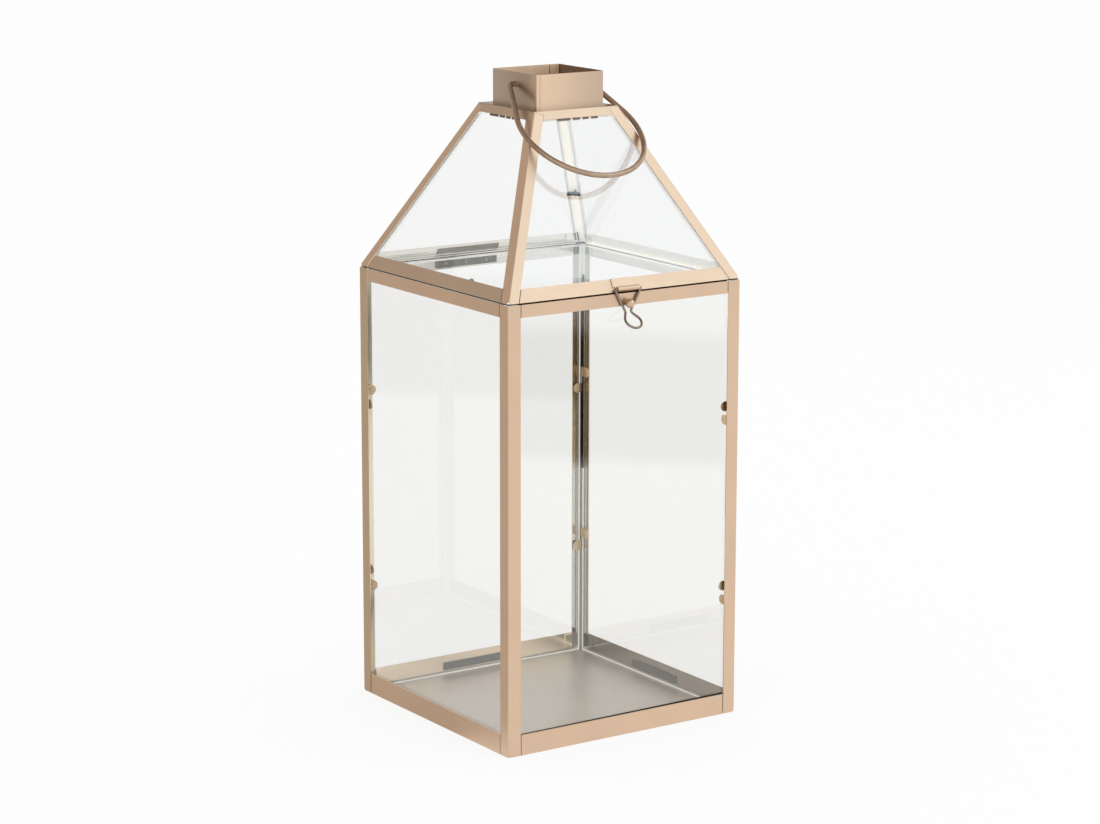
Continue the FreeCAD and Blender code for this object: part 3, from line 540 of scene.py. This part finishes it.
def dress_nodes():
    """Gives each CAD node its material, and each pane its ground edges."""
    body_inside = (body_outside - sheet / 2, 0.0)
    lid_inside = (lid_half - sheet / 2 * lid_slant / lid_rise, lean)
    body_seam = (body_outside - post_leg - body_seam_gap, 0.0)
    lid_seam = (lid_half - hip_leg * hip_length / lid_slant - lid_seam_gap, lean)
    # Painted light and shade on the inner faces seen through the glass: a golden light on the front and
    # rear bottom rails, a grey shade on the side bottom rails, and a pale light on the top rails, the hips
    # and the lid rails. Some of them also give off a painted glow.
    painted_light_rear_inner = (1.0, 0.84, 0.66)
    painted_shade_side_inner = (0.47, 0.42, 0.37)
    painted_light_inner = (0.98, 0.95, 0.89)
    # The posts' inner faces carry a painted reflection, dark brown between two levels and pale grey below
    # and above them, with a painted glow above the top level. The rear left post is a shaded copy outside,
    # with a painted pale light inside.
    upright = satin_copper("copper_post", (0, 0, 1), body_inside, inner_tone=(0.36, 0.23, 0.10),
                           inner_ends=(*dark_post_levels, (0.68, 0.66, 0.61)), inner_glow=0.33,
                           matt_from=pale_post_level)
    pale_upright = satin_copper("copper_post_pale_inside", (0, 0, 1), body_inside, tone=(0.65, 0.485, 0.33),
                                inner_tone=(1.0, 0.88, 0.68))
    across = satin_copper("copper_rail_across", (1, 0, 0), body_inside, inner_tone=painted_light_rear_inner,
                          inner_glow=0.16, seam=body_seam)
    deep = satin_copper("copper_rail_deep", (0, 1, 0), body_inside, inner_tone=painted_shade_side_inner, seam=body_seam)
    hip = satin_copper("copper_hip", (0, 0, 1), lid_inside, inner_tone=painted_light_inner, inner_glow=0.33,
                       matt_from=0.0)
    top_across = satin_copper("copper_top_across", (1, 0, 0), body_inside, inner_tone=painted_light_inner,
                              seam=body_seam)
    top_deep = satin_copper("copper_top_deep", (0, 1, 0), body_inside, inner_tone=painted_light_inner,
                            inner_glow=0.25, matt_from=0.0, seam=body_seam)
    lid_across = satin_copper("copper_lid_across", (1, 0, 0), lid_inside, inner_tone=painted_light_inner,
                              seam=lid_seam)
    lid_deep = satin_copper("copper_lid_deep", (0, 1, 0), lid_inside, tone=shaded_side_tone, inner_tone=painted_light_inner,
                            inner_glow=0.25, matt_from=0.0, seam=lid_seam)
    # The crown rails' top faces carry a painted shade, darkest on the left and right.
    crown_across = satin_copper("copper_crown_across", (1, 0, 0), lid_inside,
                                top=(crown_top_level, (0.40, 0.29, 0.215)))
    crown_deep = satin_copper("copper_crown_deep", (0, 1, 0), lid_inside, tone=shaded_side_tone,
                              top=(crown_top_level, (0.16, 0.11, 0.08)))
    plain = satin_copper("copper_small_parts", (1, 0, 0))
    wire = smooth_metal("copper_wire", (0.36, 0.25, 0.17), (0.48, 0.34, 0.235), 0.14)
    stud = smooth_metal("stud_metal", (0.60, 0.42, 0.30), (0.70, 0.50, 0.36), 0.22)
    clip = smooth_metal("clip_metal", (0.62, 0.45, 0.27), (0.74, 0.55, 0.34), 0.3)
    # Painted shade: the crown teeth are dark because they sit in shade behind the crown rail.
    teeth = smooth_metal("shaded_teeth_metal", (0.13, 0.095, 0.07), (0.20, 0.15, 0.11), 0.4)
    black = matt_rubber_and_shade("black_coating", (0.010, 0.009, 0.008), (0.022, 0.018, 0.015))
    grey_backing = matt_rubber_and_shade("grey_backing", (0.15, 0.15, 0.13), (0.20, 0.20, 0.175))
    brown_backing = matt_rubber_and_shade("brown_backing", (0.26, 0.215, 0.14), (0.33, 0.275, 0.185))
    cushion = matt_rubber_and_shade("grey_cushion", (0.205, 0.21, 0.185), (0.29, 0.295, 0.265))
    latch_wire = smooth_metal("dark_latch_wire", (0.23, 0.175, 0.13), (0.36, 0.285, 0.22), 0.13)
    chimney = chimney_copper("copper_chimney")
    tray = dull_tray("dull_tray")
    by_name = {"latch_loop": latch_wire, "chimney": chimney, "base_tray": tray,
               "post_rear_left": pale_upright, "lid_clip": black, "crown_teeth": teeth,
               "hinge_body_backing": grey_backing, "hinge_lid_backing": brown_backing}
    by_slot = {"cushion_strip": cushion, "copper_wire": wire, "fastener_metal": stud, "clip_metal": clip}
    by_kind = {"post": (upright, upright), "hip": (hip, hip), "lid": (lid_across, lid_deep),
               "crown": (crown_across, crown_deep), "top": (top_across, top_deep), "bottom": (across, deep)}
    glass = clear_glass("clear_glass")
    panes = {"pane_front": clear_glass("clear_glass_warm", (0.935, 0.925, 0.90)),
             "pane_left": clear_glass("clear_glass_grey", (0.955, 0.948, 0.943)),
             "lid_pane_front": clear_glass("clear_glass_bright", (0.86, 0.83, 0.805), 1.9)}
    edge = ground_edge("ground_edge")
    for name, node in nodes.items():
        slot = node.material_slots[0].material.name.split(".")[0]
        if slot == "clear_glass":
            pane_glass = panes.get(name, glass)
            give(name, pane_glass)
            ground_pane(name, pane_glass, edge)
        elif name in by_name:
            give(name, by_name[name])
        elif slot in by_slot:
            give(name, by_slot[slot])
        else:
            front_or_rear, left_or_right = by_kind.get(name.split("_")[0], (plain, plain))
            give(name, left_or_right if name.endswith(("_left", "_right")) else front_or_rear)


def raise_face(solid, height):
    """Turns the faces made so far into a solid. The height is a vector."""
    raised = bmesh.ops.extrude_face_region(solid, geom=solid.faces[:])["geom"]
    corners = [part for part in raised if isinstance(part, bmesh.types.BMVert)]
    bmesh.ops.translate(solid, verts=corners, vec=height)


def round_four_sides(solid):
    """Copies one side's piece round to the other three."""
    whole = solid.verts[:] + solid.edges[:] + solid.faces[:]
    bmesh.ops.spin(solid, geom=whole, cent=(0, 0, 0), axis=(0, 0, 1), angle=math.radians(270), steps=3,
                   use_duplicate=True)
    bmesh.ops.recalc_face_normals(solid, faces=solid.faces)


def lid_gap_shade(rubber):
    """A thin dark ring of painted shade in the gap under the lid, just inside its bottom edge."""
    solid = bmesh.new()
    bmesh.ops.create_grid(solid, x_segments=1, y_segments=1, size=gap_shade_half)
    middle = next(iter(solid.faces))
    bmesh.ops.inset_individual(solid, faces=[middle], thickness=gap_shade_width, use_even_offset=True)
    bmesh.ops.delete(solid, geom=[middle], context="FACES_ONLY")
    bmesh.ops.translate(solid, verts=solid.verts, vec=(0, 0, gap_shade_bottom))
    raise_face(solid, (0, 0, gap_shade_thickness))
    bmesh.ops.recalc_face_normals(solid, faces=solid.faces)
    add_piece("lid_gap_shade", solid, "lid", "cushion_strip", rubber)


def corner_gap_shade(rubber):
    """A dark rod of painted shade in the gap between two panes, in the upper half of each body corner."""
    solid = bmesh.new()
    bmesh.ops.create_circle(solid, cap_ends=True, segments=16, radius=corner_shade_radius)
    bmesh.ops.translate(solid, verts=solid.verts, vec=(*corner_shade_middle, corner_shade_bottom))
    raise_face(solid, (0, 0, corner_shade_length))
    round_four_sides(solid)
    add_piece("corner_gap_shade", solid, body_of("pane_front"), "cushion_strip", rubber)


def far_corner_shade(rubber):
    """A dark strip of painted shade on the right pane's end at the rear, in its upper half."""
    solid = bmesh.new()
    near, far = far_shade_ends
    low, high = corner_shade_bottom, corner_shade_bottom + corner_shade_length
    outline = [(near, low), (far, low), (far, high), (near, high)]
    solid.faces.new([solid.verts.new((far_shade_face, y, z)) for y, z in outline])
    raise_face(solid, (far_shade_thickness, 0, 0))
    bmesh.ops.recalc_face_normals(solid, faces=solid.faces)
    add_piece("far_corner_shade", solid, body_of("pane_right"), "cushion_strip", rubber)


def front_rail_shade(rubber):
    """A dark line of painted shade behind the front bottom rail's top edge, thicker towards the right."""
    solid = bmesh.new()
    right = body_outside - post_leg - body_seam_gap
    front = rail_shade_start - body_outside + sheet
    outline = [(-right, -rail_shade_foot), (right, -rail_shade_foot),
               (right, rail_shade_right_top), (-right, rail_shade_left_top)]
    solid.faces.new([solid.verts.new((x, front, bottom_rail_height + rise)) for x, rise in outline])
    raise_face(solid, (0, rail_shade_thickness, 0))
    bmesh.ops.recalc_face_normals(solid, faces=solid.faces)
    add_piece("front_rail_shade", solid, body_of("pane_front"), "cushion_strip", rubber)


def lid_edge_shade(rubber):
    """Thin dark strips of painted shade between the hip bars and the lid's panes, flush with the bars'
    edges.
    """
    up = Vector((0, lid_run, lid_rise)) / lid_slant
    into = Vector((0, lid_rise, -lid_run)) / lid_slant
    low = lid_rail_height + edge_shade_ends[0]
    high = lid_slant - crown_rail_height - edge_shade_ends[1]

    def on_slope(v, offset, depth):
        """A place on the front wall, up its slope, in from the hip's fold and below its face."""
        u = lid_half - lid_run * v / lid_slant - offset * hip_length / lid_slant
        return Vector((u, -lid_half, lid_bottom)) + up * v + into * depth

    solid = bmesh.new()
    near, far = [hip_leg - edge for edge in edge_shade_edges]
    outline = [(low, near), (high, near), (high, far), (low, far)]
    depth = sheet * edge_shade_depth_share
    solid.faces.new([solid.verts.new(on_slope(v, offset, depth)) for v, offset in outline])
    raise_face(solid, into * sheet * edge_shade_thickness_share)
    whole = solid.verts[:] + solid.edges[:] + solid.faces[:]
    bmesh.ops.mirror(solid, geom=whole, axis="X", merge_dist=-1)
    round_four_sides(solid)
    add_piece("lid_edge_shade", solid, "lid", "cushion_strip", rubber)


def dark_shade_pieces():
    """The dark pieces of painted shade between metal and glass: under the lid, in the body's corners, at
    the far corner, behind the front rail and along the hip bars.
    """
    rubber = matt_rubber_and_shade("dark_shade_matt", *shade_piece_tones)
    # At the lantern's rear right these strips turn pale, a painted light.
    lid_edge_shade(matt_rubber_and_shade("glazing_tape", *shade_piece_tones, (0.85, 0.86, 0.84)))
    lid_gap_shade(rubber)
    corner_gap_shade(rubber)
    far_corner_shade(rubber)
    front_rail_shade(rubber)


def white_backdrop_world():
    """Soft ambient light, with a plain white backdrop for what the camera, metal and glass see."""
    world = bpy.data.worlds.new("studio")
    bpy.context.scene.world = world
    world.use_nodes = True
    sky = Nodes(world.node_tree)
    ambient = world.node_tree.nodes["Background"]
    ambient.inputs["Color"].default_value = (1, 1, 1, 1)
    ambient.inputs["Strength"].default_value = ambient_light
    backdrop = sky.node("ShaderNodeBackground")
    view = sky.node("ShaderNodeTexCoord").outputs["Generated"]
    parts = sky.node("ShaderNodeSeparateXYZ")
    sky.link(view, parts.inputs["Vector"])
    above = sky.between(parts.outputs["Z"], 0, 1, *ceiling_edge, smooth=True)
    overhead = sky.math("MULTIPLY", above, sky.mirrored())
    sky.link(sky.blend(overhead, sky.studio_white(view), ceiling_grey), backdrop.inputs["Color"])
    seen = sky.mixed_shader(sky.seen_directly(), ambient.outputs["Background"],
                            backdrop.outputs["Background"])
    sky.link(seen, world.node_tree.nodes["World Output"].inputs["Surface"])


def floor():
    """A plain pale floor, lit partly by the lamps and mostly by its own white, so a soft shadow stays."""
    plane = bmesh.new()
    bmesh.ops.create_grid(plane, x_segments=1, y_segments=1, size=floor_half)
    made = made_object("floor", plane)
    made.location.z = cad_box[0].z
    finish = Finish("pale_floor", Base_Color=(0.95, 0.95, 0.95, 1), Roughness=0.9, Specular_IOR_Level=0.0)
    glow = finish.node("ShaderNodeEmission")
    glow.inputs["Strength"].default_value = 1.0
    finish.link(finish.studio_white(finish.place), glow.inputs["Color"])
    share = finish.math("MULTIPLY", finish.seen_directly(), floor_glow)
    finish.link(finish.mixed_shader(share, finish.shader.outputs["BSDF"], glow.outputs["Emission"]),
                finish.output.inputs["Surface"])
    made.data.materials.append(finish.material)


def dark_card():
    """A low dark card on the floor at the front right, seen only where clear glass mirrors it."""
    solid = bmesh.new()
    foot = [Vector((x, y, cad_box[0].z)) for x, y in dark_card_ends]
    head = [point + Vector((0, 0, dark_card_height)) for point in reversed(foot)]
    solid.faces.new([solid.verts.new(point) for point in foot + head])
    made = made_object("dark_card", solid)
    finish = Finish("dark_card", Base_Color=(0.0, 0.0, 0.0, 1), Roughness=1.0, Specular_IOR_Level=0.0)
    ray = finish.node("ShaderNodeLightPath")
    thrown_back = finish.math("GREATER_THAN", ray.outputs["Ray Depth"],
                              finish.math("ADD", ray.outputs["Transmission Depth"], 0.5))
    in_glass = finish.math("MULTIPLY", ray.outputs["Is Singular Ray"], thrown_back)
    height = finish.places()[2]
    soft = finish.math("MULTIPLY", finish.between(height, 0, 1, 0.0, dark_card_foot_edge, smooth=True),
                       finish.between(height, 1, 0, dark_card_head_edge, dark_card_height, smooth=True))
    clear = finish.node("ShaderNodeBsdfTransparent")
    finish.link(finish.mixed_shader(finish.math("MULTIPLY", in_glass, soft), clear.outputs["BSDF"],
                                    finish.shader.outputs["BSDF"]), finish.output.inputs["Surface"])
    made.data.materials.append(finish.material)


def softbox():
    """One large soft lamp at the front right, above the lantern."""
    data = bpy.data.lights.new("key_softbox", "AREA")
    data.shape = "SQUARE"
    data.size = softbox_size
    data.energy = softbox_power
    data.color = softbox_tint
    lamp = bpy.data.objects.new("key_softbox", data)
    bpy.context.scene.collection.objects.link(lamp)
    lamp.location = softbox_place
    aim = Vector(softbox_target) - Vector(softbox_place)
    lamp.rotation_euler = aim.to_track_quat("-Z", "Y").to_euler()
    lamp.visible_camera = False


def studio():
    white_backdrop_world()
    floor()
    dark_card()
    softbox()
    bpy.context.scene.view_settings.view_transform = "Standard"


place_camera()
studio()
dress_nodes()
dark_shade_pieces()
